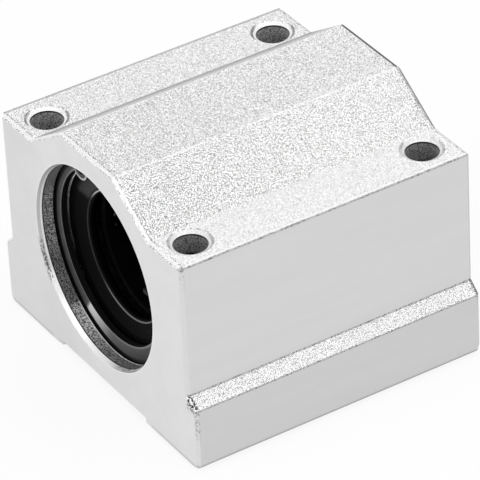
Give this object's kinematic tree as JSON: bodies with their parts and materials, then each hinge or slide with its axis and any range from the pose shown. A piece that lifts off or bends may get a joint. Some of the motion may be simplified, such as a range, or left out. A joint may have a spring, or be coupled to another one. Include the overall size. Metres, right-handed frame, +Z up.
{
  "type": "linear bearing block",
  "caption": "Aluminium pillow block with a low crown, flared foot and countersunk screw holes, holding a sealed ball bushing that runs along a round shaft.",
  "frame": {"origin": "centre of the mounting face, at the bottom of the block", "axes": "+Y along the shaft bore from the front face to the rear face, +X to the right seen from the front, +Z up from the mounting face to the crown"},
  "size_m": [0.054, 0.05, 0.041],
  "materials": {
    "housing": "silver anodised, fine matte grain on the extruded faces, satin sawn ends",
    "bearing_steel": "hardened and ground",
    "cage": "moulded black resin",
    "retaining_rings": "oiled grey spring steel",
    "seals": "moulded black nitrile",
    "side_rings": "pressed steel",
    "balls": "polished bearing steel"
  },
  "bodies": {
    "block": {"housing": "housing", "bearing_sleeve": "bearing_steel", "ball_cage": "cage", "front_retaining_ring": "retaining_rings", "front_seal": "seals", "front_side_ring": "side_rings", "rear_retaining_ring": "retaining_rings", "rear_seal": "seals", "rear_side_ring": "side_rings"},
    "loaded_rows": {"loaded_balls_1": "balls", "loaded_balls_2": "balls", "loaded_balls_3": "balls", "loaded_balls_4": "balls", "loaded_balls_5": "balls"},
    "return_rows": {"return_balls_1": "balls", "return_balls_2": "balls", "return_balls_3": "balls", "return_balls_4": "balls", "return_balls_5": "balls"},
    "front_turn_1": {"front_turn_balls_1": "balls"},
    "front_turn_2": {"front_turn_balls_2": "balls"},
    "front_turn_3": {"front_turn_balls_3": "balls"},
    "front_turn_4": {"front_turn_balls_4": "balls"},
    "front_turn_5": {"front_turn_balls_5": "balls"},
    "rear_turn_1": {"rear_turn_balls_1": "balls"},
    "rear_turn_2": {"rear_turn_balls_2": "balls"},
    "rear_turn_3": {"rear_turn_balls_3": "balls"},
    "rear_turn_4": {"rear_turn_balls_4": "balls"},
    "rear_turn_5": {"rear_turn_balls_5": "balls"}
  },
  "joints": [
    {"name": "loaded_rows_roll", "type": "slide", "parent": "block", "child": "loaded_rows", "axis": [0, 1, 0], "range_m": [-0.00179, 0.00179]},
    {"name": "return_rows_roll", "type": "slide", "parent": "block", "child": "return_rows", "axis": [0, 1, 0], "range_m": [-0.00179, 0.00179]},
    {"name": "front_turn_1_roll", "type": "hinge", "parent": "block", "child": "front_turn_1", "pos_m": [0.0085, -0.01254, 0.02924], "axis": [0.8387, 0, 0.5446], "range_deg": [-45, 45]},
    {"name": "front_turn_2_roll", "type": "hinge", "parent": "block", "child": "front_turn_2", "pos_m": [0.01046, -0.01254, 0.01546], "axis": [0.7771, 0, -0.6293], "range_deg": [-45, 45]},
    {"name": "front_turn_3_roll", "type": "hinge", "parent": "block", "child": "front_turn_3", "pos_m": [-0.00203, -0.01254, 0.00934], "axis": [-0.3584, 0, -0.9336], "range_deg": [-45, 45]},
    {"name": "front_turn_4_roll", "type": "hinge", "parent": "block", "child": "front_turn_4", "pos_m": [-0.01172, -0.01254, 0.01933], "axis": [-0.9986, 0, 0.0523], "range_deg": [-45, 45]},
    {"name": "front_turn_5_roll", "type": "hinge", "parent": "block", "child": "front_turn_5", "pos_m": [-0.00521, -0.01254, 0.03163], "axis": [-0.2588, 0, 0.9659], "range_deg": [-45, 45]},
    {"name": "rear_turn_1_roll", "type": "hinge", "parent": "block", "child": "rear_turn_1", "pos_m": [0.0085, 0.01254, 0.02924], "axis": [0.8387, 0, 0.5446], "range_deg": [-45, 45]},
    {"name": "rear_turn_2_roll", "type": "hinge", "parent": "block", "child": "rear_turn_2", "pos_m": [0.01046, 0.01254, 0.01546], "axis": [0.7771, 0, -0.6293], "range_deg": [-45, 45]},
    {"name": "rear_turn_3_roll", "type": "hinge", "parent": "block", "child": "rear_turn_3", "pos_m": [-0.00203, 0.01254, 0.00934], "axis": [-0.3584, 0, -0.9336], "range_deg": [-45, 45]},
    {"name": "rear_turn_4_roll", "type": "hinge", "parent": "block", "child": "rear_turn_4", "pos_m": [-0.01172, 0.01254, 0.01933], "axis": [-0.9986, 0, 0.0523], "range_deg": [-45, 45]},
    {"name": "rear_turn_5_roll", "type": "hinge", "parent": "block", "child": "rear_turn_5", "pos_m": [-0.00521, 0.01254, 0.03163], "axis": [-0.2588, 0, 0.9659], "range_deg": [-45, 45]}
  ],
  "couplings": [
    {"joint": "return_rows_roll", "follows": "loaded_rows_roll", "ratio": -1},
    {"joint": "front_turn_1_roll", "follows": "loaded_rows_roll", "rad_per_m": 438.52},
    {"joint": "front_turn_2_roll", "follows": "loaded_rows_roll", "rad_per_m": 438.52},
    {"joint": "front_turn_3_roll", "follows": "loaded_rows_roll", "rad_per_m": 438.52},
    {"joint": "front_turn_4_roll", "follows": "loaded_rows_roll", "rad_per_m": 438.52},
    {"joint": "front_turn_5_roll", "follows": "loaded_rows_roll", "rad_per_m": 438.52},
    {"joint": "rear_turn_1_roll", "follows": "loaded_rows_roll", "rad_per_m": 438.52},
    {"joint": "rear_turn_2_roll", "follows": "loaded_rows_roll", "rad_per_m": 438.52},
    {"joint": "rear_turn_3_roll", "follows": "loaded_rows_roll", "rad_per_m": 438.52},
    {"joint": "rear_turn_4_roll", "follows": "loaded_rows_roll", "rad_per_m": 438.52},
    {"joint": "rear_turn_5_roll", "follows": "loaded_rows_roll", "rad_per_m": 438.52}
  ]
}
